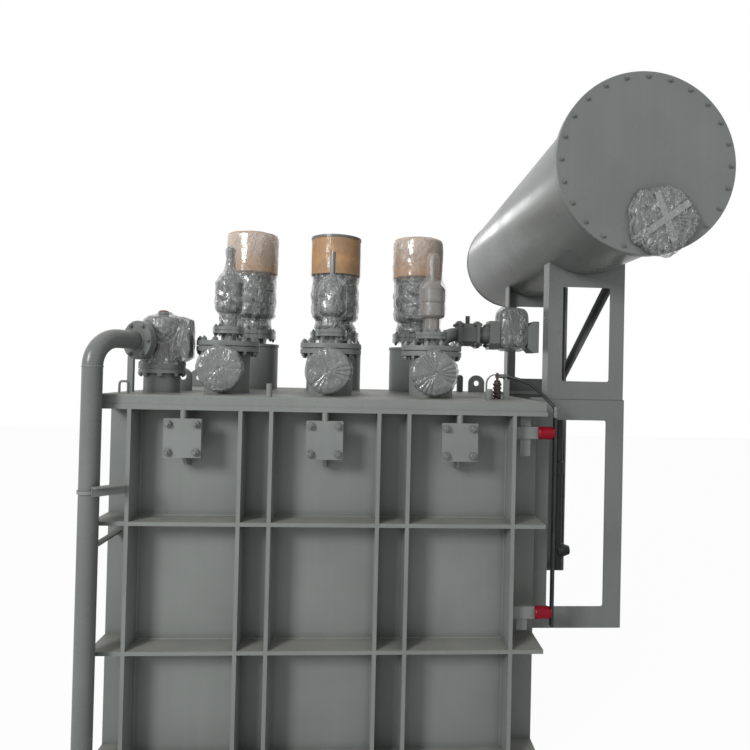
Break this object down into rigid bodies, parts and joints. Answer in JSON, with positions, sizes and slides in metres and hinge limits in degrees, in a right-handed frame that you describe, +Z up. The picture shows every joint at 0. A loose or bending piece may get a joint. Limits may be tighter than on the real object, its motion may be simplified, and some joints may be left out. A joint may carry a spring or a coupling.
{
  "type": "magnetically controlled reactor",
  "caption": "Oil-filled magnetically controlled reactor with a ribbed tank, wrapped bushings on the cover, a relief valve with its down pipe, and an oil conservator carried on side frames.",
  "frame": {"origin": "middle of the tank's footprint on the floor, at the underside of the skids", "axes": "+X to the right along the long front towards the conservator, +Y from the front to the back, +Z up"},
  "size_m": [2.396, 2.19, 2.766],
  "materials": {
    "grey_paint": "semi-gloss",
    "grey_glaze": "gloss",
    "tan_board": "matte",
    "brown_glaze": "gloss",
    "black_rubber": "satin",
    "red_resin": "satin"
  },
  "bodies": {
    "root": {"skids": "grey_paint", "tank_floor": "grey_paint", "tank_walls": "grey_paint", "stiffening_rings": "grey_paint", "front_ribs": "grey_paint", "back_ribs": "grey_paint", "left_ribs": "grey_paint", "right_ribs": "grey_paint", "cover_flange": "grey_paint", "tank_cover": "grey_paint", "front_pads": "grey_paint", "front_turrets": "grey_paint", "handhole_necks": "grey_paint", "handhole_covers": "grey_paint", "rear_turrets": "grey_paint", "small_bushings": "grey_glaze", "large_bushings": "grey_glaze", "bushing_caps": "tan_board", "relief_valve_neck": "grey_paint", "relief_valve": "grey_paint", "down_pipe": "grey_paint", "pipe_clamps": "grey_paint", "lifting_lugs": "grey_paint", "cover_fittings": "grey_paint", "conservator_shell": "grey_paint", "conservator_cover": "grey_paint", "conservator_far_end": "grey_paint", "oil_gauge": "grey_paint", "near_lower_frame": "grey_paint", "near_upper_frame": "grey_paint", "far_lower_frame": "grey_paint", "far_upper_frame": "grey_paint", "frame_brace": "grey_paint", "oil_pipe": "grey_paint", "oil_valve": "grey_paint", "gas_relay": "grey_paint", "end_valve": "grey_paint", "earthing_bushing": "brown_glaze", "earthing_lead": "black_rubber", "earthing_bar": "black_rubber", "post_insulators": "red_resin", "insulator_brackets": "grey_paint", "breather_pipe": "black_rubber"}
  },
  "joints": []
}
